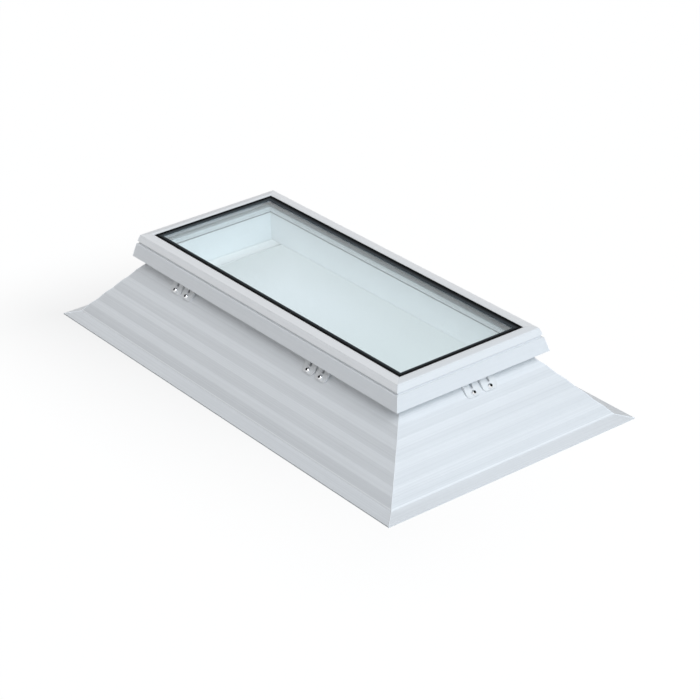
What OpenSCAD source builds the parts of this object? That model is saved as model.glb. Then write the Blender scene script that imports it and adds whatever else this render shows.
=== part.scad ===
// Flat-roof skylight: a sealed double-glazing unit in a white plastic frame, clipped down
// on a sloping hollow upstand whose flange rests on the roof.
// Millimetres, +Z up, X along the long side, origin at the centre of the underside.
// Sections are drawn as [d, z]: d runs outwards from the straight lining of the light shaft.

/* [Roof opening] */
// Length of the clear opening in the roof
opening_l = 1500; // [1000:10:2400]
// Width of the clear opening in the roof
opening_w = 750; // [640:10:1600]

/* [Upstand] */
// Height of the upstand, up to the top of the neck that carries the frame
upstand_h = 222; // [180:1:320]
// Thickness of the neck
neck_t = 28; // [24:1:30]
// Height of the straight neck above the slope
neck_h = 28; // [24:1:40]
// Height of the straight lining, from its lower edge to the top of the neck
lining_h = 91; // [60:1:110]
// Distance from the straight lining out to the roof opening
foot_run = 180; // [150:1:200]
// Upright edge at the roof opening
foot_riser = 4; // [3:1:16]
// Distance from the roof opening out to the bend above the flange
toe_run = 12; // [12:1:30]
// Height of the bend above the flange
toe_z = 16; // [14:1:24]
// Height of the small step between the bend and the flange
toe_step = 3; // [1.5:0.5:4]
// Width of the flange outside the bend
flange_w = 40; // [25:1:80]
// Thickness of the flange at its outer edge
flange_edge = 3; // [2:0.5:6]
// Radius of the flange's upper edge
flange_r = 1.2; // [0.5:0.1:1.5]
// Wall of the hollow upstand section
upstand_wall = 4; // [3:0.1:4.2]
// Web between two chambers of the upstand
web_t = 2; // [1.5:0.1:3]

/* [Wall bands] */
// Steeper facet of the outer wall, measured up the slope
steep_band = 30; // [24:1:36]
// Shallower facet of the outer wall, measured up the slope
shallow_band = 24; // [18:1:30]
// Depth of the valleys between the facets
band_relief = 1.8; // [0.4:0.1:2]

/* [Frame] */
// Compressed thickness of the seal on the neck
neck_seal_t = 4; // [3:0.5:6]
// Setback of the neck seal from both faces of the neck
neck_seal_inset = 2; // [1:0.5:4]
// Height of the sill under the glazing
sill_t = 14; // [12:1:24]
// Wall of the frame section
frame_wall = 2.8; // [2:0.1:3]
// Distance from the lining out to the upright beside the glazing
upright_d = 35; // [34:1:40]
// Thickness of the upright
upright_t = 16; // [14:1:22]
// Height of the upright above the sill
upright_h = 12; // [10:1:16]
// Height of the shadow groove under the glazing bead
groove_h = 8; // [5:1:10]
// Step from the upright out to the top of the skirt
skirt_step = 6; // [5:0.5:10]
// Height of the skirt
skirt_h = 42; // [36:1:44]
// How far the skirt leans out over its height
skirt_lean = 11; // [4:1:20]
// Radius of the skirt's top edge
skirt_r = 2.5; // [1:0.5:4]
// Radius of the skirt's lower edge
drip_r = 1; // [0.5:0.1:1.5]
// Reach of the rib that the clips hold down
rib_reach = 5; // [3:0.5:6]
// Thickness of that rib
rib_t = 3; // [2:0.5:3]
// Height of the rib above the skirt's lower edge
rib_lift = 4; // [2:0.5:5]

/* [Glazing] */
// Thickness of each glass pane
pane_t = 4; // [3:0.5:8]
// Cavity between the panes
cavity = 16; // [10:1:20]
// Distance from the lining out to the edge of the panes
pane_d = 30; // [28:0.5:31]
// Width of the spacer bar between the panes
spacer_w = 7; // [5:0.5:9]
// Chamfer on the spacer bar's back corners
spacer_chamfer = 2; // [1:0.5:3]
// Wall of the hollow spacer bar
spacer_wall = 0.8; // [0.5:0.1:1.2]
// Width of the seal outside the spacer bar
edge_seal_w = 10; // [6:0.5:12]
// Thickness of the gasket under the glazing
inner_gasket_t = 4; // [3:0.5:6]
// Width of the gasket under the glazing
inner_gasket_w = 18; // [12:1:22]
// Distance from the lining out to the gasket under the glazing
inner_gasket_d = 2; // [1:0.5:6]
// Thickness of the black gasket on the glazing
outer_gasket_t = 3.5; // [2.5:0.5:5]
// Width of that gasket inside the bead, where it shows
outer_gasket_show = 20; // [10:1:26]
// Width of that gasket under the bead
outer_gasket_grip = 10; // [6:1:12]
// Radius of that gasket's lip on the glass
outer_gasket_r = 1.5; // [0.5:0.5:2]
// Length of a setting block beside the glazing
block_l = 100; // [60:5:140]
// Height of a setting block
block_h = 20; // [10:1:24]
// Distance from the glazing's corner to the middle of the nearest block
block_inset = 110; // [80:5:130]

/* [Glazing bead] */
// Distance from the lining out to the inner edge of the bead
bead_d = 18; // [16:0.5:20]
// Upright lip at the inner edge of the bead
bead_lip = 1; // [0.5:0.5:2]
// Distance from the inner edge out to the ridge
ridge_run = 6.5; // [5:0.5:9]
// Rise from the lip to the ridge
ridge_rise = 3; // [2:0.5:6]
// Distance from the ridge out to the top edge
crown_run = 22.8; // [20:0.1:25]
// Fall from the ridge to the top edge
crown_fall = 3.5; // [2:0.5:6]
// How far the bead's side leans out
bead_lean = 7.3; // [4:0.1:10]
// Radius of the bead's top edge
bead_r = 3; // [1:0.5:4]
// Radius of the ridge
ridge_r = 1.5; // [0.5:0.5:3]
// Distance from the bead's top edge down to the fine groove in its side
side_groove_drop = 2.5; // [2:0.5:4]
// Width of that groove
side_groove_w = 2; // [1:0.5:3]
// Depth of that groove
side_groove_h = 0.8; // [0.4:0.1:1]
// Wall of the bead section
bead_wall = 2.5; // [1.8:0.1:3]
// Thickness of the tongue that snaps into the upright
tongue_t = 3; // [2:0.5:4]
// Depth of the tongue
tongue_h = 5; // [3:0.5:6]

/* [Clips] */
// Distance between the two clips of a long side
clip_spacing = 656; // [400:2:860]
// How far the clips of a long side sit to the left of its middle
long_shift = 64; // [0:1:80]
// How far the clip of a short side sits to the right of its middle
short_shift = 29; // [0:1:40]
// Distance between the two screws of a clip
screw_pitch = 57; // [54:1:70]
// Width of each lobe of a clip
lobe_w = 49; // [36:1:50]
// Thickness of the lobes at the shoulder
lobe_t = 10; // [9:0.5:11]
// Thickness of the lobes at their lower end
lobe_end_t = 3.5; // [3.5:0.5:5]
// Length of the lobes down the slope from the shoulder
lobe_l = 54; // [53:1:60]
// Radius of the lower corners of a lobe
lobe_r = 14; // [4:1:16]
// Radius of a lobe's lower edge
lobe_edge_r = 3; // [1:0.5:3]
// Width of the opening under the hook, one in each lobe
core_w = 10; // [6:1:14]
// Length of that opening down the slope
core_l = 14; // [8:1:15]
// Distance from the shoulder down the slope to that opening
core_run = 17; // [15:0.5:18]
// Length down the slope where the two lobes are joined
bridge_l = 14; // [8:1:18]
// Thickness of the part of a clip that stands against the neck
hook_t = 8; // [6:0.5:9]
// Height of the arm that lies on the frame's rib
hook_arm_h = 4.7; // [3:0.1:6]

/* [Screws] */
// Distance from the shoulder down the slope to a screw
screw_run = 43; // [42:0.5:46]
// Diameter of a screw head
head_d = 15; // [12:0.5:16]
// Height of a screw head
head_h = 6; // [4:0.5:7]
// Straight rim of a screw head
head_rim = 1; // [0.5:0.5:2]
// Diameter of a screw shank
shank_d = 6.3; // [4.8:0.1:6.5]
// Length of a screw shank
shank_l = 20; // [16:1:26]
// Width of the hexagon socket across its corners
socket_d = 7; // [5:0.5:8]
// Depth of the hexagon socket
socket_h = 3.5; // [2:0.5:4]
// Diameter of the boss under a screw head
boss_d = 17; // [16.5:0.5:18]
// Thickness of a clip at that boss
boss_t = 6.5; // [6:0.5:8]

/* [Clearances] */
// Gap between a clip and the surfaces that it lies on
clip_gap = 0.2; // [0.1:0.1:0.5]
// Gap round the tongue, the setting blocks and the hook
fit_gap = 0.3; // [0.2:0.1:0.6]
// Gap round a screw shank
shank_gap = 0.1; // [0.05:0.05:0.4]

/* [Hidden] */
$fn = 48;

// Sides in turn: each is the front side turned about Z.
FRONT = 0;
RIGHT = 1;
BACK = 2;
LEFT = 3;
SIDES = [FRONT, RIGHT, BACK, LEFT];

// Plan of the light shaft inside the straight lining
light_l = opening_l - 2 * foot_run;
light_w = opening_w - 2 * foot_run;
function half_along(side) = (side % 2 == 0 ? light_l : light_w) / 2;
function half_across(side) = (side % 2 == 0 ? light_w : light_l) / 2;

// Slope of the upstand's outer wall, from the toe up to the shoulder
toe = [foot_run + toe_run, toe_z];
shoulder = [neck_t, upstand_h - neck_h];
lining_z = upstand_h - lining_h;
slope_l = norm(shoulder - toe);
up_slope = (shoulder - toe) / slope_l;
off_slope = [up_slope.y, -up_slope.x];
slope_angle = atan2(up_slope.y, -up_slope.x);
band_pitch = steep_band + shallow_band;
band_pairs = floor((slope_l - shallow_band) / band_pitch);
flange_d = toe.x + flange_w;

// How far a cut runs past the surface that it opens
over = 1;

// Heights of the stack, from the neck up to the ridge of the bead
frame_z = upstand_h + neck_seal_t;
rebate_z = frame_z + sill_t;
glass_z = rebate_z + inner_gasket_t;
cavity_z = glass_z + pane_t;
outer_pane_z = cavity_z + cavity;
glass_top_z = outer_pane_z + pane_t;
bead_z = glass_top_z + outer_gasket_t;
ridge_z = bead_z + bead_lip + ridge_rise;
seat_z = rebate_z + upright_h;
skirt_top_z = seat_z - groove_h;
skirt_z = skirt_top_z - skirt_h;
rib_z = skirt_z + rib_lift;

// Offsets of the frame, the glazing and the bead
upright_out_d = upright_d + upright_t;
leg_d = upright_out_d - frame_wall;
skirt_top_d = upright_out_d + skirt_step;
skirt_d = skirt_top_d + skirt_lean;
tongue_d = upright_d + upright_t / 2;
spacer_d = pane_d - edge_seal_w - spacer_w;
bead_edge_d = bead_d + ridge_run + crown_run;
bead_out_d = bead_edge_d + bead_lean;
bead_heel = upright_d - bead_d - outer_gasket_grip;
bead_top = [bead_edge_d, ridge_z - crown_fall];
bead_foot = [bead_out_d, seat_z];
bead_side = (bead_top - bead_foot) / norm(bead_top - bead_foot);
outer_reach = flange_d + over;
inner_reach = outer_gasket_show - bead_d + over;

white = [0.93, 0.94, 0.95];
black = [0.05, 0.05, 0.055];
grey = [0.55, 0.57, 0.58];
steel = [0.78, 0.79, 0.80];
clear_glass = [0.75, 0.88, 0.90, 0.35];

// Outlines with soft corners: each point is [d, z, corner radius].
function unit(v) = v / norm(v);
function soft_corner(before, p, after, r, steps = 4) =
    let (
        u = unit(before - p),
        v = unit(after - p),
        half = acos(u * v) / 2,
        centre = p + unit(u + v) * r / sin(half),
        from = p + u * r / tan(half) - centre,
        to = p + v * r / tan(half) - centre
    )
    [for (k = [0 : steps]) centre + r * unit(from * (steps - k) + to * k)];
function flat(p) = [p.x, p.y];
function soft(points) =
    let (n = len(points))
    [for (i = [0 : n - 1])
        let (p = points[i])
        each is_undef(p.z)
            ? [p]
            : soft_corner(flat(points[(i + n - 1) % n]), flat(p), flat(points[(i + 1) % n]), p.z)];

// The same outline moved inwards by a wall, for the chambers of a hollow section.
function left_of(v) = [-v.y, v.x];
function inset(points, wall) =
    let (n = len(points))
    [for (i = [0 : n - 1])
        let (
            before = left_of(unit(points[i] - points[(i + n - 1) % n])),
            after = left_of(unit(points[(i + 1) % n] - points[i]))
        )
        points[i] + (before + after) * wall / (1 + before * after)];

// A straight length of a section along one side, cut to the mitres of both corners.
module mitred(side) {
    along = half_along(side);
    across = half_across(side);
    rotate([0, 0, 90 * side])
    intersection() {
        translate([0, -across, 0])
        rotate([90, 0, -90])
        linear_extrude(height = 2 * (along + outer_reach), center = true)
        children();
        translate([0, -across, -over])
        linear_extrude(height = ridge_z + 2 * over)
        polygon([
            [-along - outer_reach, -outer_reach],
            [along + outer_reach, -outer_reach],
            [along - inner_reach, inner_reach],
            [-along + inner_reach, inner_reach]
        ]);
    }
}

// A closed frame of one section round all four corners.
module ring() {
    for (side = SIDES)
        mitred(side) children();
}

// A flat rectangle that reaches d past the lining on every side.
module plate(d, z, t) {
    translate([-light_l / 2 - d, -light_w / 2 - d, z])
    cube([light_l + 2 * d, light_w + 2 * d, t]);
}

// Middles of the clips of one side, measured along it.
function clip_middles(side) =
    side % 2 == 0
        ? [-clip_spacing / 2 - long_shift, clip_spacing / 2 - long_shift]
        : [short_shift];

// Axes on the slope of one side: X along the side, Y up the slope, Z out of the wall.
module on_slope(side, along, down) {
    place = shoulder - up_slope * down;
    rotate([0, 0, 90 * side])
    translate([along, -half_across(side) - place.x, place.y])
    rotate([slope_angle, 0, 0])
    children();
}

module at_screws(side, middle) {
    for (end = [-1, 1])
        on_slope(side, middle + end * screw_pitch / 2, screw_run) children();
}

// Facets of the outer wall, from the toe up to the shoulder.
function slope_point(up, sink) = toe + up_slope * up - off_slope * sink;
band_points = [
    for (i = [0 : band_pairs - 1])
        each [slope_point(i * band_pitch, band_relief), slope_point(i * band_pitch + steep_band, 0)]
];
web_places = [
    for (i = [0 : band_pairs - 1])
        each [i * band_pitch + steep_band, (i + 1) * band_pitch]
];

module upstand_chambers() {
    hollow = [
        [foot_run, foot_riser], toe, shoulder, [neck_t, upstand_h], [0, upstand_h], [0, lining_z]
    ];
    difference() {
        polygon(inset(hollow, upstand_wall));
        for (up = web_places)
            translate(slope_point(up, 0))
            rotate(atan2(-off_slope.y, -off_slope.x))
            translate([-web_t, -web_t / 2])
            square([norm(toe) + upstand_h, web_t]);
    }
}

module upstand_section() {
    difference() {
        polygon(soft(concat(
            [
                [foot_run, 0],
                [flange_d, 0],
                [flange_d, flange_edge, flange_r],
                [toe.x, toe_z - toe_step]
            ],
            band_points,
            [
                slope_point(band_pairs * band_pitch, band_relief),
                shoulder,
                [neck_t, upstand_h],
                [0, upstand_h],
                [0, lining_z],
                [foot_run, foot_riser]
            ]
        )));
        upstand_chambers();
    }
}

module upstand(side) {
    color(white)
    difference() {
        mitred(side) upstand_section();
        for (middle = clip_middles(side))
            at_screws(side, middle)
            cylinder(d = shank_d + 2 * shank_gap, h = 2 * shank_l, center = true);
    }
}

module neck_seal() {
    color(black)
    ring()
    translate([neck_seal_inset, upstand_h])
    square([neck_t - 2 * neck_seal_inset, neck_seal_t]);
}

module frame_chambers() {
    sill_chamber_w = (upright_d - frame_wall - web_t) / 2;
    slot_z = seat_z - tongue_h - fit_gap;
    for (i = [0, 1])
        translate([frame_wall + i * (sill_chamber_w + web_t), frame_z + frame_wall])
        square([sill_chamber_w, sill_t - 2 * frame_wall]);
    translate([upright_d + frame_wall, frame_z + frame_wall])
    square([upright_t - 2 * frame_wall, slot_z - frame_z - 2 * frame_wall]);
    polygon(inset(
        [
            [leg_d, skirt_z],
            [skirt_d, skirt_z],
            [skirt_top_d, skirt_top_z],
            [leg_d, skirt_top_z]
        ],
        frame_wall
    ));
    translate([tongue_d - tongue_t / 2 - fit_gap, slot_z])
    square([tongue_t + 2 * fit_gap, seat_z - slot_z + over]);
}

module frame_section() {
    difference() {
        polygon(soft([
            [0, frame_z],
            [leg_d, frame_z],
            [leg_d, rib_z + rib_t],
            [leg_d - rib_reach, rib_z + rib_t],
            [leg_d - rib_reach, rib_z],
            [leg_d, rib_z],
            [leg_d, skirt_z],
            [skirt_d, skirt_z, drip_r],
            [skirt_top_d, skirt_top_z, skirt_r],
            [upright_out_d, skirt_top_z],
            [upright_out_d, seat_z],
            [upright_d, seat_z],
            [upright_d, rebate_z],
            [0, rebate_z]
        ]));
        frame_chambers();
    }
}

module frame_length(side) {
    color(white)
    mitred(side) frame_section();
}

module inner_gasket() {
    color(black)
    ring()
    translate([inner_gasket_d, rebate_z])
    square([inner_gasket_w, inner_gasket_t]);
}

module inner_pane() {
    color(clear_glass)
    plate(pane_d, glass_z, pane_t);
}

module spacer_bar() {
    bar = [
        [spacer_d, cavity_z],
        [spacer_d + spacer_w - spacer_chamfer, cavity_z],
        [spacer_d + spacer_w, cavity_z + spacer_chamfer],
        [spacer_d + spacer_w, outer_pane_z - spacer_chamfer],
        [spacer_d + spacer_w - spacer_chamfer, outer_pane_z],
        [spacer_d, outer_pane_z]
    ];
    color(grey)
    ring()
    difference() {
        polygon(bar);
        polygon(inset(bar, spacer_wall));
    }
}

module edge_seal() {
    color(black)
    ring()
    polygon([
        [spacer_d + spacer_w - spacer_chamfer, cavity_z],
        [pane_d, cavity_z],
        [pane_d, outer_pane_z],
        [spacer_d + spacer_w - spacer_chamfer, outer_pane_z],
        [spacer_d + spacer_w, outer_pane_z - spacer_chamfer],
        [spacer_d + spacer_w, cavity_z + spacer_chamfer]
    ]);
}

module outer_pane() {
    color(clear_glass)
    plate(pane_d, outer_pane_z, pane_t);
}

module setting_blocks() {
    block_t = upright_d - pane_d - 2 * fit_gap;
    color(grey)
    for (side = SIDES, end = [-1, 1]) {
        middle = end * (half_along(side) + pane_d - block_inset);
        rotate([0, 0, 90 * side])
        translate([middle - block_l / 2, -half_across(side) - pane_d - fit_gap - block_t, rebate_z])
        cube([block_l, block_t, block_h]);
    }
}

module outer_gasket() {
    lip = outer_gasket_t / 2;
    inner = bead_d - outer_gasket_show;
    color(black)
    ring()
    polygon(soft([
        [inner, glass_top_z],
        [bead_d + outer_gasket_grip, glass_top_z],
        [bead_d + outer_gasket_grip, bead_z],
        [inner + lip, bead_z, outer_gasket_r],
        [inner, bead_z - lip]
    ]));
}

// Points on the bead's side, measured down from its top edge.
function side_point(drop, sink) = bead_top - bead_side * drop + left_of(bead_side) * sink;

module bead_section() {
    crown = (bead_edge_d - upright_d) / crown_run * crown_fall;
    difference() {
        union() {
            polygon(soft([
                [bead_d, bead_z],
                [upright_d - bead_heel, bead_z],
                [upright_d, bead_z - bead_heel],
                [upright_d, seat_z],
                bead_foot,
                side_point(side_groove_drop + side_groove_w, 0),
                side_point(side_groove_drop + side_groove_w - side_groove_h / 2, side_groove_h),
                side_point(side_groove_drop + side_groove_h / 2, side_groove_h),
                side_point(side_groove_drop, 0),
                [bead_top.x, bead_top.y, bead_r],
                [bead_d + ridge_run, ridge_z, ridge_r],
                [bead_d, bead_z + bead_lip]
            ]));
            translate([tongue_d - tongue_t / 2, seat_z - tongue_h])
            square([tongue_t, tongue_h + bead_wall]);
        }
        polygon(inset(
            [
                [upright_d, seat_z],
                bead_foot,
                bead_top,
                [upright_d, bead_top.y + crown]
            ],
            bead_wall
        ));
    }
}

module bead(side) {
    color(white)
    mitred(side) bead_section();
}

// Section of a clip: tapered lobes on the slope, a back against the neck and an arm over the rib.
module clip_section() {
    base = shoulder + [clip_gap, clip_gap * tan((90 - slope_angle) / 2)];
    lobe_end = base - up_slope * lobe_l;
    back_d = neck_t + clip_gap + hook_t;
    face = base + off_slope * lobe_t;
    lobe_edge = lobe_end + off_slope * lobe_end_t;
    fall = (lobe_edge - face) / (lobe_edge.x - face.x);
    back_z = face.y + (back_d - face.x) * fall.y;
    arm_z = rib_z + rib_t + fit_gap;
    polygon(soft([
        base,
        lobe_end,
        [lobe_edge.x, lobe_edge.y, lobe_edge_r],
        [back_d, back_z],
        [back_d, arm_z],
        [leg_d - fit_gap, arm_z],
        [leg_d - fit_gap, arm_z + hook_arm_h],
        [neck_t + clip_gap, arm_z + hook_arm_h]
    ]));
}

// Plan of a clip on the slope: two lobes with round lower corners, joined at the top.
module clip_plan() {
    clip_w = screw_pitch + lobe_w;
    reach_up = 2 * upstand_h;
    translate([-clip_w / 2, -bridge_l])
    square([clip_w, bridge_l + reach_up]);
    for (end = [-1, 1])
        translate([end * screw_pitch / 2, -lobe_l]) {
            translate([-lobe_w / 2, lobe_r])
            square([lobe_w, lobe_l - lobe_r]);
            translate([-lobe_w / 2 + lobe_r, 0])
            square([lobe_w - 2 * lobe_r, lobe_l]);
            for (corner = [-1, 1])
                translate([corner * (lobe_w / 2 - lobe_r), lobe_r])
                circle(lobe_r);
        }
}

module clip(side, middle) {
    clip_w = screw_pitch + lobe_w;
    color(white)
    difference() {
        union() {
            intersection() {
                rotate([0, 0, 90 * side])
                translate([middle, -half_across(side), 0])
                rotate([90, 0, -90])
                linear_extrude(height = clip_w, center = true)
                clip_section();
                on_slope(side, middle, 0)
                linear_extrude(height = 2 * upstand_h, center = true)
                clip_plan();
            }
            at_screws(side, middle)
            translate([0, 0, clip_gap + lobe_end_t / 2])
            cylinder(d = boss_d, h = boss_t - lobe_end_t / 2);
        }
        at_screws(side, middle) {
            cylinder(d = shank_d + 2 * shank_gap, h = 2 * shank_l, center = true);
            translate([-core_w / 2, screw_run - core_run - core_l, -over])
            cube([core_w, core_l, 2 * lobe_t]);
        }
    }
}

// Round of a dome head: an arc from its rim up to its crown.
module screw() {
    dome_h = head_h - head_rim;
    dome_r = (head_d * head_d / 4 + dome_h * dome_h) / (2 * dome_h);
    difference() {
        union() {
            translate([0, 0, -shank_l])
            cylinder(d = shank_d, h = shank_l);
            cylinder(d = head_d, h = head_rim);
            intersection() {
                translate([0, 0, head_rim])
                cylinder(d = head_d, h = dome_h);
                translate([0, 0, head_h - dome_r])
                sphere(dome_r);
            }
        }
        translate([0, 0, head_h - socket_h])
        cylinder(d = socket_d, h = socket_h + over, $fn = 6);
    }
}

module clip_screws() {
    color(steel)
    for (side = SIDES)
        for (middle = clip_middles(side))
            at_screws(side, middle)
            translate([0, 0, clip_gap + boss_t])
            screw();
}

upstand(FRONT);  // upstand_front
upstand(RIGHT);  // upstand_right
upstand(BACK);  // upstand_back
upstand(LEFT);  // upstand_left
neck_seal();
frame_length(FRONT);  // frame_front
frame_length(RIGHT);  // frame_right
frame_length(BACK);  // frame_back
frame_length(LEFT);  // frame_left
inner_gasket();
inner_pane();
spacer_bar();
edge_seal();
outer_pane();
setting_blocks();
outer_gasket();
bead(FRONT);  // bead_front
bead(RIGHT);  // bead_right
bead(BACK);  // bead_back
bead(LEFT);  // bead_left
clip(FRONT, clip_middles(FRONT)[0]);  // clip_front_left
clip(FRONT, clip_middles(FRONT)[1]);  // clip_front_right
clip(RIGHT, clip_middles(RIGHT)[0]);  // clip_right
clip(BACK, clip_middles(BACK)[0]);  // clip_back_right
clip(BACK, clip_middles(BACK)[1]);  // clip_back_left
clip(LEFT, clip_middles(LEFT)[0]);  // clip_left
clip_screws();
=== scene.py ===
"""A flat-roof skylight: a glazing unit in a white plastic frame, clipped down on a hollow upstand."""

import math

import bmesh
import bpy
from mathutils import Matrix, Vector


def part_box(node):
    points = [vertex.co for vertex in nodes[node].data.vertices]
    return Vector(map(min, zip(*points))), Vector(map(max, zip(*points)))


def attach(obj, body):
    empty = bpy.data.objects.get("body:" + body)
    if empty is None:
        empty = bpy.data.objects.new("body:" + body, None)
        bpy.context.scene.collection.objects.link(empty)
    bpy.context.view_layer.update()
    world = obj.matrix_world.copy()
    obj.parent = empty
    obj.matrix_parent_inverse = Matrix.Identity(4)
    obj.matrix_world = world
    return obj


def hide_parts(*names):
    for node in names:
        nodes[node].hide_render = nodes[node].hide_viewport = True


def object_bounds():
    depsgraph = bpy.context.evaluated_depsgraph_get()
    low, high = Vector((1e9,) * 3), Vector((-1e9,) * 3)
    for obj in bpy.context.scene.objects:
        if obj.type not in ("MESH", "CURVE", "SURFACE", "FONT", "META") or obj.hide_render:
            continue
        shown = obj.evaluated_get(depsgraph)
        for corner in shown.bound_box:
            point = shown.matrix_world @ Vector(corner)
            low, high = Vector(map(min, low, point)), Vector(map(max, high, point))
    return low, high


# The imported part: every node sits at the origin with its place in its mesh, in metres.
# X runs along the long side, Y across and Z up from the roof.
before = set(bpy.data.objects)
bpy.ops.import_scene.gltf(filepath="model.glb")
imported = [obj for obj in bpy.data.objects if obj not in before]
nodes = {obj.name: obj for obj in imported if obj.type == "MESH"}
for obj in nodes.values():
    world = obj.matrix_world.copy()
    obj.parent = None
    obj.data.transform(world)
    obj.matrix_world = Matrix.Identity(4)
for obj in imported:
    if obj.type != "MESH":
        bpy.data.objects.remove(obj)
cad_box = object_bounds()
SIDES = ("front", "right", "back", "left")


# Upstand: four lengths of hollow white plastic, extruded with shallow facets along the wall.
# They are mitred, butt welded at the corners and trimmed, which leaves a fine bead on each arris.
class Wire:
    """An output socket of a node tree. Arithmetic on it adds Math nodes, and make adds any other."""

    def __init__(self, tree, socket=None):
        self.tree = tree
        self.socket = socket

    def make(self, kind, sockets=(), out=0, **settings):
        made = self.tree.nodes.new(kind)
        for name, value in settings.items():
            setattr(made, name, value)
        for key, value in dict(sockets).items():
            if isinstance(value, Wire):
                self.tree.links.new(value.socket, made.inputs[key])
            else:
                made.inputs[key].default_value = value
        return Wire(self.tree, made.outputs[out]) if made.outputs else None

    def maths(self, operation, *others):
        values = dict(enumerate((self, *others)))
        return self.make("ShaderNodeMath", values, operation=operation)

    def __add__(self, other):
        return self.maths("ADD", other)

    __radd__ = __add__

    def __sub__(self, other):
        return self.maths("SUBTRACT", other)

    def __rsub__(self, other):
        return self.make("ShaderNodeMath", {0: other, 1: self}, operation="SUBTRACT")

    def __mul__(self, other):
        return self.maths("MULTIPLY", other)

    __rmul__ = __mul__

    def __abs__(self):
        return self.maths("ABSOLUTE")

    def below(self, limit):
        return self.maths("LESS_THAN", limit)

    def above(self, limit):
        return self.maths("GREATER_THAN", limit)

    def larger(self, other):
        return self.maths("MAXIMUM", other)

    def fade(self, start, end, first=0.0, last=1.0):
        """Runs from first to last as this value runs from start to end, and holds beyond them."""
        return self.make(
            "ShaderNodeMapRange",
            {"Value": self, "From Min": start, "From Max": end, "To Min": first, "To Max": last},
        )

    def along(self, axis):
        return self.make("ShaderNodeSeparateXYZ", {"Vector": self}, out=axis)

    def noise(self, scale, detail=2.0):
        return self.make("ShaderNodeTexNoise", {"Vector": self, "Scale": scale, "Detail": detail})

    def stretched(self, scale):
        return self.make("ShaderNodeMapping", {"Vector": self, "Scale": scale})

    def between(self, first, second):
        """A colour that runs from first to second as this value runs from 0 to 1."""
        return self.make("ShaderNodeMix", {0: self, 6: first, 7: second}, out=2, data_type="RGBA")

    def bump(self, depth):
        return self.make("ShaderNodeBump", {"Height": self, "Strength": 1.0, "Distance": depth})


def paint(tone, share=1.0):
    """A tone as a socket's colour, darker or paler by a share."""
    return (*[channel * share for channel in tone], 1.0)


def new_finish(name):
    """A material with an empty tree, and its Object coordinates."""
    material = bpy.data.materials.new(name)
    material.use_nodes = True
    material.node_tree.nodes.clear()
    start = Wire(material.node_tree)
    return material, start.make("ShaderNodeTexCoord", out="Object")


def surface(at, **sockets):
    """A Principled surface on the tree's output, with its sockets named as words joined by _."""
    named = {key.replace("_", " "): value for key, value in sockets.items()}
    shader = at.make("ShaderNodeBsdfPrincipled", named)
    at.make("ShaderNodeOutputMaterial", {"Surface": shader})


def dress(names, material):
    for name in names:
        mesh = nodes[name].data
        mesh.materials.clear()
        mesh.materials.append(material)


NEAR = 1e-5
lining_half = (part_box("upstand_right")[0].x, -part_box("upstand_front")[1].y)
front_points = [v.co for v in nodes["upstand_front"].data.vertices]
lining_z = min(point.z for point in front_points if point.y > -lining_half[1] - NEAR)
toe = Vector((0.192, 0.016))
shoulder = Vector((0.028, 0.194))
up_slope = (shoulder - toe).normalized()
off_slope = Vector((up_slope.y, -up_slope.x))
STEEP_BAND = 0.03
BAND_PITCH = 0.054
FACE_SLACK = 0.003


def beyond_lining(place, run):
    across = {"x": 1, "y": 0}[run]
    return abs(place[across]) - lining_half[across]


def outer_face(place, run):
    """Two masks: the whole outer face, and its steeper facets, matt from the die and given a painted
    shade.
    """
    depth = beyond_lining(place, run) - toe.x
    height = place[2] - toe.y
    up = depth * up_slope.x + height * up_slope.y
    off = depth * off_slope.x + height * off_slope.y
    outside = off.above(-FACE_SLACK)
    steep = up.maths("FLOORED_MODULO", BAND_PITCH).below(STEEP_BAND)
    return outside, steep * outside * up.above(0.0)


BLACK = (0.0, 0.0, 0.0)
# Painted shade: the share by which the steeper facets are coloured darker.
STEEP_FACET_PAINTED_SHADE = 0.06
MATT_ROUGHNESS = 0.12
# Painted shade: the outer wall darkens towards its foot, much more on the lengths along X.
FOOT_PAINTED_SHADE_TOP = 0.05
FOOT_PAINTED_SHADE = {"x": 0.1, "y": 0.01}
# Painted highlight: a pale line along the toe of the outer face.
TOE_HIGHLIGHT_HALF = 0.0012
TOE_HIGHLIGHT_WEIGHT = 0.6
TOE_PAINTED_HIGHLIGHT_TONE = (0.95, 0.955, 0.96)
LINING_SLACK = 0.005
JOINT_RISE = 0.0015
JOINT_HALF = 0.0025
JOINT_WEIGHT = 0.18
# Painted shade: darkening in the lining's lower corners.
CORNER_PAINTED_SHADE = 0.19
CORNER_REACH = 0.15
CORNER_TOP = 0.08
HEM_TOP = 0.003
# Painted shade: a dark band on the flange's lower edge, much stronger on the lengths along X.
HEM_PAINTED_SHADE = {"x": 0.55, "y": 0.15}
JOINT_AND_PAINTED_SHADE_TONE = (0.1, 0.11, 0.12)


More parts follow.
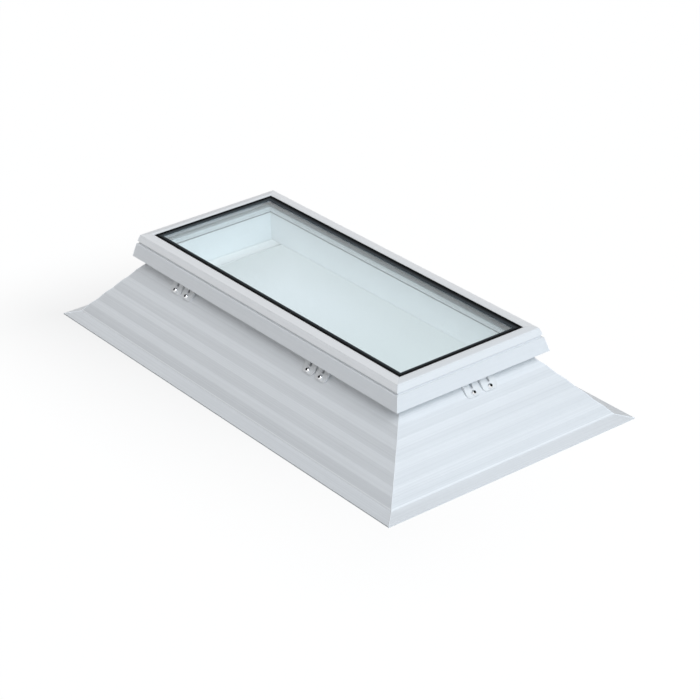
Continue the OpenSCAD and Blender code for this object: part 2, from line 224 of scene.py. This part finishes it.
def marked_and_shaded_wall(colour, place, run):
    """The upstand's white with a dark joint line, painted shade and a painted highlight, and the mask
    of its matt facets.

    Outside it is painted darker towards the foot, on the steeper facets and on the flange's lower
    edge, with a painted highlight on the toe. Inside it has the joint at the lining's foot and
    painted shade in its corners.
    """
    height = place[2]
    outside, steep = outer_face(place, run)
    # Painted shade towards the foot, and on the steeper facets.
    foot_painted_shade = height.fade(0.0, FOOT_PAINTED_SHADE_TOP, FOOT_PAINTED_SHADE[run], 0.0)
    colour = (outside * foot_painted_shade + STEEP_FACET_PAINTED_SHADE * steep).between(colour, paint(BLACK))
    # Painted highlight on the toe.
    toe_painted_highlight = outside * abs(height - toe.y).below(TOE_HIGHLIGHT_HALF)
    colour = (TOE_HIGHLIGHT_WEIGHT * toe_painted_highlight).between(colour, paint(TOE_PAINTED_HIGHLIGHT_TONE))
    on_lining = beyond_lining(place, run).below(LINING_SLACK)
    joint = abs(height - lining_z - JOINT_RISE).below(JOINT_HALF)
    axis = "xy".index(run)
    to_corner = lining_half[axis] - abs(place[axis])
    # Painted shade in the lining's lower corners.
    low = height.fade(lining_z + CORNER_TOP, lining_z)
    painted_shade = low * to_corner.fade(0.0, CORNER_REACH, CORNER_PAINTED_SHADE, 0.0)
    # Painted shade on the flange's lower edge.
    painted_hem = HEM_PAINTED_SHADE[run] * outside * height.below(HEM_TOP)
    # The joint line is the wall's own; the corner and hem marks are painted shade.
    joint_and_painted_shade = on_lining * (JOINT_WEIGHT * joint + painted_shade) + painted_hem
    return joint_and_painted_shade.between(colour, paint(JOINT_AND_PAINTED_SHADE_TONE)), steep


CLOUD_SCALE = 4.0
DIE_LINE_PITCH = 900.0
DIE_LINE_RUN = 3.0
STREAK_SHARE = 0.3
GRAIN_SCALE = 1400.0
GRAIN_DEPTH = 0.00006
WELD_LINE_HALF = 0.0012
WELD_LINE_BLUR = 0.0008
TONE_MIDDLE = 0.9775
TONE_SWING = 0.06
WALL_TONE_SWING = 0.14


def extruded_white(name, run, tone, shine, is_wall=False):
    """White rigid plastic with die lines along its run, clouds and a weld line on each mitre."""
    material, at = new_finish(name)
    lengthwise = [DIE_LINE_RUN if axis == run else DIE_LINE_PITCH for axis in "xyz"]
    cloud = at.noise(CLOUD_SCALE, 3.0)
    lines = at.stretched(lengthwise).noise(1.0, 1.0)
    streaks = at.stretched([scale * STREAK_SHARE for scale in lengthwise]).noise(1.0)
    grain = at.noise(GRAIN_SCALE)
    place = [at.along(axis) for axis in range(3)]
    off_mitre = abs(abs(place[0]) - abs(place[1]) - (lining_half[0] - lining_half[1]))
    weld = off_mitre.fade(WELD_LINE_HALF, WELD_LINE_HALF + WELD_LINE_BLUR, 1.0, 0.0)
    swing = WALL_TONE_SWING if is_wall else TONE_SWING
    colour = (cloud * 0.2 + streaks * 0.6 + lines * 0.2).between(
        paint(tone, TONE_MIDDLE - swing), paint(tone, TONE_MIDDLE + swing)
    )
    shine = shine + 0.07 * lines + 0.06 * cloud - 0.1 * weld
    if is_wall:
        colour, steep = marked_and_shaded_wall(colour, place, run)
        shine = shine + MATT_ROUGHNESS * steep
    surface(
        at,
        Base_Color=colour,
        Roughness=shine,
        Normal=(lines * 0.6 + grain * 0.4).bump(GRAIN_DEPTH),
        IOR=1.5,
        Coat_Weight=0.08,
        Coat_Roughness=0.3,
    )
    return material


def dress_sides(piece, whites):
    """Dresses four lengths: front and back run along X, right and left along Y."""
    for turn, side in enumerate(SIDES):
        dress([piece + side], whites["xy"[turn % 2]])


UPSTAND_TONE = (0.83, 0.845, 0.86)
UPSTAND_SHINE = 0.36
dress_sides("upstand_", {
    run: extruded_white("upstand_white_" + run, run, UPSTAND_TONE, UPSTAND_SHINE, is_wall=True)
    for run in "xy"
})


def corner_edges(node, sink, steepest_only=False):
    """Outer arris of a mitred length as pairs of points (d, z), drawn in by the sink.

    d is measured out from the lining's corner.
    """
    mesh = nodes[node].data
    end = {}
    for v in mesh.vertices:
        depth = v.co.x - lining_half[0]
        if abs(depth + v.co.y + lining_half[1]) < NEAR:
            end[v.index] = (depth, v.co.z)
    ends = [edge.vertices for edge in mesh.edges if all(i in end for i in edge.vertices)]
    cuts = [[end[i] for i in pair] for pair in ends]

    def reach(z):
        found = [0.0]
        for (d0, z0), (d1, z1) in cuts:
            if abs(z1 - z0) > NEAR and min(z0, z1) - NEAR <= z <= max(z0, z1) + NEAR:
                found.append(d0 + (d1 - d0) * (z - z0) / (z1 - z0))
        return max(found)

    line = sorted({(round(z, 6), round(d, 6)) for d, z in end.values() if d > reach(z) - NEAR})
    pairs = []
    for (z0, d0), (z1, d1) in zip(line, line[1:]):
        on_wall = abs(reach((z0 + z1) / 2) - (d0 + d1) / 2) < 10 * NEAR
        steep = z1 - z0 > abs(d1 - d0)
        if z1 - z0 > NEAR and on_wall and (steep or not steepest_only):
            pairs.append(((d0 - sink, z0), (d1 - sink, z1)))
    return pairs


def wire_mesh(name, points):
    """A mesh of loose edges, each between two points of the list."""
    mesh = bpy.data.meshes.new(name)
    mesh.from_pydata(points, [(i, i + 1) for i in range(0, len(points), 2)], [])
    return mesh


def at_corners(name, pairs):
    """A wire mesh of the same edges at all four corners."""
    points = []
    for sx in (-1, 1):
        for sy in (-1, 1):
            for pair in pairs:
                points += [
                    (sx * (lining_half[0] + d), sy * (lining_half[1] + d), z) for d, z in pair
                ]
    return wire_mesh(name, points)


def add_object(name, data):
    made = bpy.data.objects.new(name, data)
    bpy.context.scene.collection.objects.link(made)
    return made


def new_growth(name, **inputs):
    """A Geometry Nodes tree with named number inputs, and wires for its geometry and for them."""
    tree = bpy.data.node_groups.new(name, "GeometryNodeTree")
    tree.interface.new_socket("Geometry", in_out="OUTPUT", socket_type="NodeSocketGeometry")
    tree.interface.new_socket("Geometry", in_out="INPUT", socket_type="NodeSocketGeometry")
    for key, value in inputs.items():
        made = tree.interface.new_socket(key, in_out="INPUT", socket_type="NodeSocketFloat")
        made.default_value = value
    entry = tree.nodes.new("NodeGroupInput")
    return tree, [Wire(tree, socket) for socket in entry.outputs if socket.name]


def end_growth(shape, material):
    """Closes a tree: real geometry, smooth, in one material."""
    real = shape.make("GeometryNodeRealizeInstances", {"Geometry": shape})
    smooth = real.make("GeometryNodeSetShadeSmooth", {"Geometry": real, "Shade Smooth": True})
    painted = smooth.make("GeometryNodeSetMaterial", {"Geometry": smooth, "Material": material})
    painted.make("NodeGroupOutput", {"Geometry": painted})


def grow(name, mesh, tree, material, **values):
    """Runs a tree on a mesh and returns the result as a plain mesh object."""
    piece = add_object(name, mesh)
    modifier = piece.modifiers.new(name, "NODES")
    modifier.node_group = tree
    for item in tree.interface.items_tree:
        if item.in_out == "INPUT" and item.name in values:
            modifier[item.identifier] = values[item.name]
    ready = piece.evaluated_get(bpy.context.evaluated_depsgraph_get())
    grown = bpy.data.meshes.new_from_object(ready)
    piece.modifiers.remove(modifier)
    piece.data = grown
    grown.materials.clear()
    grown.materials.append(material)
    return piece


def keep(piece, slot, *replaced):
    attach(piece, "root")
    if replaced:
        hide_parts(*replaced)


WELD_RADIUS = 0.0011
WELD_SINK = 0.0005
WELD_STEPS = 10
WELD_TONE = (0.88, 0.895, 0.91)
WELD_SHINE = 0.3
weld_white = extruded_white("weld_white", "x", WELD_TONE, WELD_SHINE)


def weld_growth():
    tree, (wires, radius) = new_growth("corner_weld", radius=WELD_RADIUS)
    line = wires.make("GeometryNodeMeshToCurve", {"Mesh": wires})
    bead = line.make(
        "GeometryNodeCurvePrimitiveCircle", {"Resolution": WELD_STEPS, "Radius": radius}
    )
    swept = line.make(
        "GeometryNodeCurveToMesh", {"Curve": line, "Profile Curve": bead, "Fill Caps": True}
    )
    end_growth(swept, weld_white)
    return tree


weld_tree = weld_growth()


def weld_corners(name, node, slot, steepest_only=False):
    wires = at_corners(name, corner_edges(node, WELD_SINK, steepest_only))
    keep(grow(name, wires, weld_tree, weld_white, radius=WELD_RADIUS), slot)


weld_corners("upstand_welds", "upstand_front", "upstand_plastic")

# Neck seal: a flat strip of black cellular rubber on the upstand's neck.
# The clips press the frame down on it, and only its inner edge shows, as a fine dark line.
RUBBER_GRAIN = 1100.0
RUBBER_DEPTH = 0.00008
BLOOM_SCALE = 9.0


def rubber(name, tone, shine):
    material, at = new_finish(name)
    fine = at.noise(RUBBER_GRAIN, 3.0)
    bloom = at.noise(BLOOM_SCALE)
    surface(
        at,
        Base_Color=(bloom * 0.6 + fine * 0.4).between(paint(tone, 0.7), paint(tone, 1.3)),
        Roughness=shine + 0.14 * fine + 0.08 * bloom,
        Normal=fine.bump(RUBBER_DEPTH),
        IOR=1.5,
    )
    return material


dress(["neck_seal"], rubber("seal_rubber", (0.1, 0.103, 0.107), 0.6))

# Frame: four mitred lengths of hollow white plastic with a skirt that hangs over the neck.
# The corners are welded and trimmed like the upstand's.
FRAME_TONE = (0.82, 0.835, 0.85)
FRAME_SHINE = 0.3
dress_sides("frame_", {
    run: extruded_white("frame_white_" + run, run, FRAME_TONE, FRAME_SHINE) for run in "xy"
})
weld_corners("frame_welds", "frame_front", "frame_plastic", steepest_only=True)

# Inner gasket: a grey rubber strip on the frame's sill, under the glazing unit.
# It is softer and paler than the outer gasket, and shows only through the glass.
dress(["inner_gasket"], rubber("grey_rubber", (0.38, 0.39, 0.4), 0.5))

# Glazing unit: two panes of clear float glass round a dry cavity.
# The iron in the glass gives it a slight cyan tint, and lamps shine through it.
GLASS_TINT = (0.836, 0.892, 0.907)
LAMP_TINT = (0.95, 0.98, 0.985)
REAM_SCALE = 1.2
REAM_SHARE = 0.985


def float_glass(name):
    material, at = new_finish(name)
    ream = at.noise(REAM_SCALE, 1.0)
    pane = at.make(
        "ShaderNodeBsdfPrincipled",
        {
            "Base Color": ream.between(paint(GLASS_TINT), paint(GLASS_TINT, REAM_SHARE)),
            "Roughness": 0.0,
            "IOR": 1.5,
            "Transmission Weight": 1.0,
        },
    )
    open_pane = at.make("ShaderNodeBsdfTransparent", {"Color": paint(LAMP_TINT)})
    shadow = at.make("ShaderNodeLightPath", out="Is Shadow Ray")
    diffuse = at.make("ShaderNodeLightPath", out="Is Diffuse Ray")
    mixed = at.make("ShaderNodeMixShader", {0: shadow.larger(diffuse), 1: pane, 2: open_pane})
    at.make("ShaderNodeOutputMaterial", {"Surface": mixed})
    return material


dress(["inner_pane", "outer_pane"], float_glass("float_glass"))

# Spacer bar: a hollow aluminium bar between the panes, roll formed from strip.
# Fine perforations in two rows on its inner face let the drying agent reach the cavity; they are
# drawn as near-black discs, a painted shade for the holes.
SPACER_TONE = (0.62, 0.64, 0.67)
ROLL_STREAKS = (25.0, 25.0, 1800.0)
ROLL_DEPTH = 0.00002


def drawn_aluminium(name, tone):
    material, at = new_finish(name)
    streaks = at.stretched(ROLL_STREAKS).noise(1.0, 3.0)
    surface(
        at,
        Base_Color=streaks.between(paint(tone, 0.9), paint(tone)),
        Metallic=1.0,
        Roughness=0.3 + 0.14 * streaks,
        Normal=streaks.bump(ROLL_DEPTH),
    )
    return material


dress(["spacer_bar"], drawn_aluminium("spacer_aluminium", SPACER_TONE))

PERFORATION_PITCH = 0.0045
PERFORATION_RADIUS = 0.0004
PERFORATION_DEPTH = 0.0002
PERFORATION_END = 0.012
PERFORATION_STEPS = 8
PERFORATION_ROWS = (0.35, 0.65)
perforation_shade = rubber("perforation_shade", (0.012, 0.012, 0.012), 0.7)


def perforation_rows():
    """Lines on the spacer's inner face, each running so that the cavity is on its left."""
    low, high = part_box("spacer_bar")
    spacer = nodes["spacer_bar"].data
    inner_l = min(abs(v.co.x) for v in spacer.vertices)
    inner_w = min(abs(v.co.y) for v in spacer.vertices)
    span_l = inner_l - PERFORATION_END
    span_w = inner_w - PERFORATION_END
    points = []
    for share in PERFORATION_ROWS:
        z = low.z + (high.z - low.z) * share
        for turn in (1, -1):
            points += [
                (-turn * span_l, -turn * inner_w, z), (turn * span_l, -turn * inner_w, z),
                (turn * inner_l, -turn * span_w, z), (turn * inner_l, turn * span_w, z),
            ]
    return wire_mesh("perforation_rows", points)


def perforation_growth():
    tree, (wires, pitch, radius) = new_growth(
        "perforations", pitch=PERFORATION_PITCH, radius=PERFORATION_RADIUS
    )
    line = wires.make("GeometryNodeMeshToCurve", {"Mesh": wires})
    spots = line.make("GeometryNodeResampleCurve", {"Curve": line, "Length": pitch}, mode="LENGTH")
    tangent = line.make("GeometryNodeInputTangent")
    inward = line.make(
        "ShaderNodeVectorMath", {0: (0.0, 0.0, 1.0), 1: tangent}, operation="CROSS_PRODUCT"
    )
    facing = line.make("FunctionNodeAlignRotationToVector", {"Vector": inward}, axis="Z")
    plug = line.make(
        "GeometryNodeMeshCylinder",
        {"Vertices": PERFORATION_STEPS, "Radius": radius, "Depth": PERFORATION_DEPTH},
    )
    holes = line.make(
        "GeometryNodeInstanceOnPoints", {"Points": spots, "Instance": plug, "Rotation": facing}
    )
    end_growth(holes, perforation_shade)
    return tree


perforations = grow(
    "spacer_perforations", perforation_rows(), perforation_growth(), perforation_shade,
    pitch=PERFORATION_PITCH, radius=PERFORATION_RADIUS,
)
keep(perforations, "edge_sealant")

# Edge seal and setting blocks: black sealant closes the unit behind the spacer bar.
# Grey plastic blocks hold the unit's edges clear of the frame.
dress(["edge_seal"], rubber("edge_sealant", (0.025, 0.025, 0.026), 0.45))
dress(["setting_blocks"], rubber("block_plastic", (0.3, 0.32, 0.34), 0.45))

# Outer gasket: black rubber on the glass, held down by the bead and mitred at the corners.
# Its rounded lip lies on the glass, and a painted sheen makes it paler towards its inner edge.
GASKET_TONE = (0.003, 0.0033, 0.0036)
LIP_PAINTED_SHEEN_TONE = (0.075, 0.085, 0.093)
LIP_WIDTH = 0.013


def lipped_rubber(name):
    material, at = new_finish(name)
    fine = at.noise(RUBBER_GRAIN, 3.0)
    past_lining = [abs(at.along(axis)) - lining_half[axis] for axis in range(2)]
    edge = min(
        max(abs(v.co[axis]) - lining_half[axis] for axis in range(2))
        for v in nodes["outer_gasket"].data.vertices
    )
    # Painted sheen: paler towards the lip's inner edge.
    lip_painted_sheen = past_lining[0].larger(past_lining[1]).fade(edge, edge + LIP_WIDTH, 1.0, 0.0)
    surface(
        at,
        Base_Color=(lip_painted_sheen * (0.8 + 0.4 * fine)).between(paint(GASKET_TONE), paint(LIP_PAINTED_SHEEN_TONE)),
        Roughness=0.5 + 0.14 * fine,
        Normal=fine.bump(RUBBER_DEPTH),
        IOR=1.5,
        Specular_IOR_Level=0.01,
    )
    return material


dress(["outer_gasket"], lipped_rubber("black_rubber"))

# Glazing bead: four mitred lengths of hollow white plastic that snap into the frame.
# Their crown falls outwards from a low ridge beside the gasket.
# Painted light and shade: the lengths along X are a lighter white and those along Y a darker one.
BEAD_TONES_WITH_PAINTED_LIGHT = {"x": (0.96, 0.965, 0.97), "y": (0.86, 0.87, 0.88)}
BEAD_SHINE = 0.28
dress_sides("bead_", {
    run: extruded_white("bead_white_" + run, run, BEAD_TONES_WITH_PAINTED_LIGHT[run], BEAD_SHINE) for run in "xy"
})
weld_corners("bead_welds", "bead_front", "frame_plastic", steepest_only=True)

# Clips: white moulded plastic with two lobes on the slope and a hook over the frame's rib.
# Every edge has the small radius of the mould.
CLIPS = (
    "clip_front_left", "clip_front_right", "clip_right",
    "clip_back_right", "clip_back_left", "clip_left",
)
CLIP_TONES = ((0.77, 0.78, 0.785), (0.82, 0.825, 0.83))
FLOW_SCALE = 30.0
SPARK_SCALE = 2200.0
SPARK_DEPTH = 0.00005
MOULD_RADIUS = 0.0012
MOULD_STEPS = 3
FLAT_ANGLE = math.radians(1)
SOFT_ANGLE = math.radians(30)
SHARP_ANGLE = math.radians(40)


def moulded_white(name):
    material, at = new_finish(name)
    spark = at.noise(SPARK_SCALE)
    flow = at.noise(FLOW_SCALE, 3.0)
    surface(
        at,
        Base_Color=flow.between(*[paint(tone) for tone in CLIP_TONES]),
        Roughness=0.4 + 0.1 * spark,
        Normal=spark.bump(SPARK_DEPTH),
        IOR=1.48,
    )
    return material


def merged(node):
    """A node's mesh for editing, with its loose triangles joined."""
    shape = bmesh.new()
    shape.from_mesh(nodes[node].data)
    bmesh.ops.remove_doubles(shape, verts=shape.verts, dist=NEAR)
    return shape


def softened(name, node, material):
    """A copy of a node with its edges rounded."""
    shape = merged(node)
    bmesh.ops.dissolve_limit(
        shape, angle_limit=FLAT_ANGLE, verts=shape.verts, edges=shape.edges
    )
    sharp = [e for e in shape.edges if e.is_manifold and e.calc_face_angle() > SHARP_ANGLE]
    bmesh.ops.bevel(
        shape, geom=sharp, offset=MOULD_RADIUS, offset_type="OFFSET", segments=MOULD_STEPS,
        profile=0.5, affect="EDGES", clamp_overlap=True,
    )
    bmesh.ops.triangulate(shape, faces=[f for f in shape.faces if len(f.verts) > 4])
    for face in shape.faces:
        face.smooth = True
    for edge in shape.edges:
        edge.smooth = not edge.is_manifold or edge.calc_face_angle() < SOFT_ANGLE
    mesh = bpy.data.meshes.new(name)
    shape.to_mesh(mesh)
    shape.free()
    mesh.materials.append(material)
    return add_object(name, mesh)


clip_white = moulded_white("clip_white")
for node in CLIPS:
    keep(softened("moulded_" + node, node, clip_white), "clip_plastic", node)

# Screws: stainless steel with a dome head and a hexagon socket, two through each clip.
# They are cold headed and polished, so the dome is bright, and the socket has a painted shade that
# keeps it dark.
STEEL_TONE = (0.9, 0.905, 0.91)
SOCKET_PAINTED_SHADE_TONE = (0.01, 0.01, 0.01)
MARK_SCALE = 900.0
MARK_DEPTH = 0.00001
HEAD_RADIUS = 0.0075
HEAD_HEIGHT = 0.006
HEAD_RIM = 0.001
SHANK_RADIUS = 0.00315
SHANK_LENGTH = 0.02
SOCKET_RADIUS = 0.0035
SOCKET_DEPTH = 0.0035
SOCKET_SIDES = 6
EDGE_RADIUS = 0.0004
TURN_STEPS = 48
DOME_STEPS = 10
dome_rise = HEAD_HEIGHT - HEAD_RIM
dome_radius = (HEAD_RADIUS ** 2 + dome_rise ** 2) / (2 * dome_rise)
mouth_radius = SOCKET_RADIUS + EDGE_RADIUS


def bright_steel(name):
    material, at = new_finish(name)
    marks = at.noise(MARK_SCALE)
    # Painted shade: the attribute darkens the socket nearly to black.
    painted_shade = at.make("ShaderNodeAttribute", out="Fac", attribute_name="painted_shade")
    polished = marks.between(paint(STEEL_TONE, 0.85), paint(STEEL_TONE))
    surface(
        at,
        Base_Color=painted_shade.between(polished, paint(SOCKET_PAINTED_SHADE_TONE)),
        Metallic=1.0,
        Roughness=0.09 + 0.08 * marks + 0.5 * painted_shade,
        Normal=marks.bump(MARK_DEPTH),
    )
    return material


def dome_z(radius):
    return HEAD_HEIGHT - dome_radius + math.sqrt(dome_radius ** 2 - radius ** 2)


def ring(radius, z, sides=0):
    """Points round the screw's axis, on a circle or on a polygon with this many sides."""
    points = []
    for step in range(TURN_STEPS):
        angle = math.tau * step / TURN_STEPS
        reach = radius
        if sides:
            half = math.pi / sides
            reach = radius * math.cos(half) / math.cos(angle % (2 * half) - half)
        points.append((reach * math.cos(angle), reach * math.sin(angle), z))
    return points


def screw_model():
    """One screw on the Z axis, its head's underside at 0, with its socket's painted shade as an
    attribute.
    """
    dome_width = mouth_radius - HEAD_RADIUS
    dome = [HEAD_RADIUS + dome_width * step / DOME_STEPS for step in range(DOME_STEPS)]
    clean = [
        ring(SHANK_RADIUS - EDGE_RADIUS, -SHANK_LENGTH),
        ring(SHANK_RADIUS, -SHANK_LENGTH + EDGE_RADIUS),
        ring(SHANK_RADIUS, 0),
        ring(HEAD_RADIUS - EDGE_RADIUS, 0),
        ring(HEAD_RADIUS, EDGE_RADIUS),
        *[ring(radius, dome_z(radius)) for radius in dome],
    ]
    painted_shade_rings = [
        ring(mouth_radius, dome_z(mouth_radius)),
        ring(SOCKET_RADIUS, dome_z(mouth_radius) - EDGE_RADIUS, SOCKET_SIDES),
        ring(SOCKET_RADIUS, HEAD_HEIGHT - SOCKET_DEPTH, SOCKET_SIDES),
    ]
    rings = clean + painted_shade_rings
    last = TURN_STEPS * (len(rings) - 1)
    faces = [[*range(TURN_STEPS)][::-1]]
    for low in range(0, last, TURN_STEPS):
        high = low + TURN_STEPS
        for step in range(TURN_STEPS):
            after = (step + 1) % TURN_STEPS
            faces.append([low + step, low + after, high + after, high + step])
    faces.append([last + step for step in range(TURN_STEPS)])
    mesh = bpy.data.meshes.new("screw_model")
    mesh.from_pydata([point for row in rings for point in row], [], faces)
    painted_shade = [0.0] * TURN_STEPS * len(clean) + [1.0] * TURN_STEPS * len(painted_shade_rings)
    mesh.attributes.new("painted_shade", "FLOAT", "POINT").data.foreach_set("value", painted_shade)
    return add_object("screw_model", mesh)


def islands(shape):
    """The vertices of each separate solid in a mesh."""
    waiting = dict.fromkeys(shape.verts)
    while waiting:
        island = [next(iter(waiting))]
        del waiting[island[0]]
        for vert in island:
            for edge in vert.link_edges:
                other = edge.other_vert(vert)
                if other in waiting:
                    del waiting[other]
                    island.append(other)
        yield island


def screw_places():
    """A point under each screw head, with the screw's axis as an attribute."""
    shape = merged("clip_screws")
    places, axes = [], []
    for island in islands(shape):
        middle = sum((vert.co for vert in island), Vector()) / len(island)
        if abs(middle.y) - lining_half[1] > abs(middle.x) - lining_half[0]:
            outwards = Vector((0, math.copysign(1, middle.y), 0))
        else:
            outwards = Vector((math.copysign(1, middle.x), 0, 0))
        axis = outwards * off_slope.x + Vector((0, 0, off_slope.y))
        tip = min(vert.co.dot(axis) for vert in island)
        places.append(middle + axis * (tip + SHANK_LENGTH - middle.dot(axis)))
        axes.extend(axis)
    shape.free()
    mesh = bpy.data.meshes.new("screw_places")
    mesh.from_pydata(places, [], [])
    mesh.attributes.new("axis", "FLOAT_VECTOR", "POINT").data.foreach_set("vector", axes)
    return mesh


def screw_growth(model, material):
    tree, (places, size) = new_growth("screws", size=1.0)
    axis = places.make(
        "GeometryNodeInputNamedAttribute", {"Name": "axis"}, data_type="FLOAT_VECTOR"
    )
    facing = places.make("FunctionNodeAlignRotationToVector", {"Vector": axis}, axis="Z")
    shape = places.make("GeometryNodeObjectInfo", {"Object": model}, out="Geometry")
    screws = places.make(
        "GeometryNodeInstanceOnPoints",
        {"Points": places, "Instance": shape, "Rotation": facing, "Scale": size},
    )
    end_growth(screws, material)
    return tree


steel = bright_steel("bright_steel")
one_screw = screw_model()
dome_screws = grow("dome_screws", screw_places(), screw_growth(one_screw, steel), steel, size=1.0)
dome_screws.data.set_sharp_from_angle(angle=SHARP_ANGLE)
bpy.data.objects.remove(one_screw)
keep(dome_screws, "screw_steel", "clip_screws")

# Stage: a pale floor that shows white to the camera, keeps part of the shadow and has a painted
# shadow beside the object.
# Under the opening it glows as painted light, which lights the shaft like a bright room below, and
# the camera sees it with painted shade towards the opening's edges and painted light to the left.
# The world is white behind the object and lights it softly from all sides.
FLOOR_HALF = 14.0
FLOOR_Z = -0.0004
FLOOR_TONE = 0.86
FLOOR_WHITE = 1.055
SHADOW_SHARE = 0.12
PAINTED_SHADOW_REACH = 0.42
PAINTED_SHADOW_CURVE = 1.5
PAINTED_SHADOW_LEFT = 0.13
PAINTED_SHADOW_RIGHT = 0.03
PAINTED_SHADOW_FRONT = 0.3
ROOM_HALF = (0.75, 0.375)
SHAFT_FLOOR_PAINTED_SHADE = (0.865, 0.905, 0.915)
SHAFT_FLOOR_PAINTED_LIGHT_LEFT = (0.955, 0.985, 1.02)
SHAFT_FLOOR_PAINTED_SHADE_EDGE = (0.765, 0.8, 0.81)
ROOM_LEFT = (0.05, -0.35)
ROOM_EDGE = 0.2
ROOM_END = 0.5
GLOW_HALF = 0.22
GLOW_FLARE = 0.12
ROOM_GLOW = 1.9
ROOM_GLOW_END = 1.1
AMBIENT = 0.27


def grey(level):
    return (level, level, level, 1.0)


def seen_directly(at):
    camera_ray, glossy, through = (
        at.make("ShaderNodeLightPath", out=kind)
        for kind in ("Is Camera Ray", "Is Glossy Ray", "Is Transmission Ray")
    )
    return camera_ray.larger(glossy).larger(through)


floor_white, at = new_finish("floor_white")
place = [at.along(axis) for axis in range(2)]
off_middle = [abs(value) for value in place]
inside = off_middle[0].below(ROOM_HALF[0]) * off_middle[1].below(ROOM_HALF[1])
# Painted shade and light on the floor seen in the shaft: darker than the open floor and towards the
# opening's edges, paler to the left.
to_left = place[0].fade(*ROOM_LEFT)
to_edge = off_middle[1].fade(ROOM_EDGE, ROOM_HALF[1])
to_end = off_middle[0].fade(ROOM_END, ROOM_HALF[0])
painted_shaft_floor = to_edge.larger(to_end).between(
    to_left.between(paint(SHAFT_FLOOR_PAINTED_SHADE), paint(SHAFT_FLOOR_PAINTED_LIGHT_LEFT)), paint(SHAFT_FLOOR_PAINTED_SHADE_EDGE)
)
# Painted shadow: the floor the camera sees is greyed round the object, most on its left and in front,
# fading outwards.
past_edge = [(off_middle[axis] - cad_box[1][axis]).larger(0.0) for axis in range(2)]
distance = (past_edge[0] * past_edge[0] + past_edge[1] * past_edge[1]).maths("SQRT")
painted_shadow = distance.fade(0.0, PAINTED_SHADOW_REACH, 1.0, 0.0).maths("POWER", PAINTED_SHADOW_CURVE)
painted_shadow_depth = place[0].fade(cad_box[0].x, cad_box[1].x, PAINTED_SHADOW_LEFT, PAINTED_SHADOW_RIGHT)
in_front = place[1].fade(PAINTED_SHADOW_FRONT, -PAINTED_SHADOW_FRONT)
open_floor = (painted_shadow * painted_shadow_depth * in_front).between(grey(FLOOR_WHITE), grey(0.0))
seen = at.make(
    "ShaderNodeEmission", {"Color": inside.between(open_floor, painted_shaft_floor), "Strength": 1.0}
)
plain = at.make("ShaderNodeBsdfDiffuse", {"Color": grey(FLOOR_TONE)})
# Painted light: under the shaft the floor glows for bounced rays.
glow_tone = to_end.between(grey(ROOM_GLOW), grey(ROOM_GLOW_END))
room = at.make("ShaderNodeEmission", {"Color": glow_tone, "Strength": 1.0})
under_shaft = inside * (off_middle[1] - GLOW_FLARE * to_end).below(GLOW_HALF)
lit = at.make("ShaderNodeMixShader", {0: under_shaft, 1: plain, 2: room})
glow = seen_directly(at) * (1.0 - SHADOW_SHARE + SHADOW_SHARE * inside)
floor_shader = at.make("ShaderNodeMixShader", {0: glow, 1: lit, 2: seen})
at.make("ShaderNodeOutputMaterial", {"Surface": floor_shader})

floor_mesh = bpy.data.meshes.new("floor")
floor_corners = [
    (sx * FLOOR_HALF, sy * FLOOR_HALF, FLOOR_Z) for sx, sy in ((-1, -1), (1, -1), (1, 1), (-1, 1))
]
floor_mesh.from_pydata(floor_corners, [], [(0, 1, 2, 3)])
floor_mesh.materials.append(floor_white)
add_object("floor", floor_mesh)

world = bpy.data.worlds.new("studio")
bpy.context.scene.world = world
world.use_nodes = True
world.node_tree.nodes.clear()
sky = Wire(world.node_tree)
soft = sky.make("ShaderNodeBackground", {"Color": grey(1.0), "Strength": AMBIENT})
backdrop = sky.make("ShaderNodeBackground", {"Color": grey(1.0), "Strength": 1.0})
sky_shader = sky.make("ShaderNodeMixShader", {0: seen_directly(sky), 1: soft, 2: backdrop})
sky.make("ShaderNodeOutputWorld", {"Surface": sky_shader})


# Lamps: one broad soft key high on the right, and a cool fill level with the right-hand end.
# The fill is kept out of reflections, so that its square doesn't show in the glass.
def add_lamp(name, kind, place, aim, colour, energy, **settings):
    lamp = bpy.data.lights.new(name, kind)
    lamp.color = colour
    lamp.energy = energy
    for key, value in settings.items():
        setattr(lamp, key, value)
    made = add_object(name, lamp)
    made.location = place
    made.rotation_euler = (Vector(place) - Vector(aim)).to_track_quat("Z", "Y").to_euler()
    return made


add_lamp(
    "key", "SUN", place=(2.9, -0.65, 3.1), aim=(0, 0, 0),
    colour=(0.96, 1.0, 1.05), energy=1.85, angle=math.radians(40),
)
fill = add_lamp(
    "cool_fill", "AREA", place=(4.0, -0.4, 0.9), aim=(cad_box[0] + cad_box[1]) / 2,
    colour=(0.35, 0.73, 1.0), energy=16.0, size=2.5,
)
fill.visible_glossy = False

# Camera: at the photograph's viewing angle, with a long lens.
# Its place and turn were fitted to the outlines of the part.
VIEW_PLACE = (4.750, -3.389, 3.114)
VIEW_AZIMUTH = math.radians(54.023)
VIEW_ELEVATION = math.radians(27.767)
VIEW_ROLL = math.radians(-2.583)
VIEW_LENS = 117.8
VIEW_SENSOR = 36.0
camera = bpy.data.cameras.new("camera")
camera.lens = VIEW_LENS
camera.sensor_width = VIEW_SENSOR
eye = add_object("camera", camera)
eye.matrix_world = (
    Matrix.Translation(VIEW_PLACE)
    @ Matrix.Rotation(VIEW_AZIMUTH, 4, "Z")
    @ Matrix.Rotation(math.pi / 2 - VIEW_ELEVATION, 4, "X")
    @ Matrix.Rotation(VIEW_ROLL, 4, "Z")
)
bpy.context.scene.camera = eye
bpy.context.scene.view_settings.view_transform = "Standard"
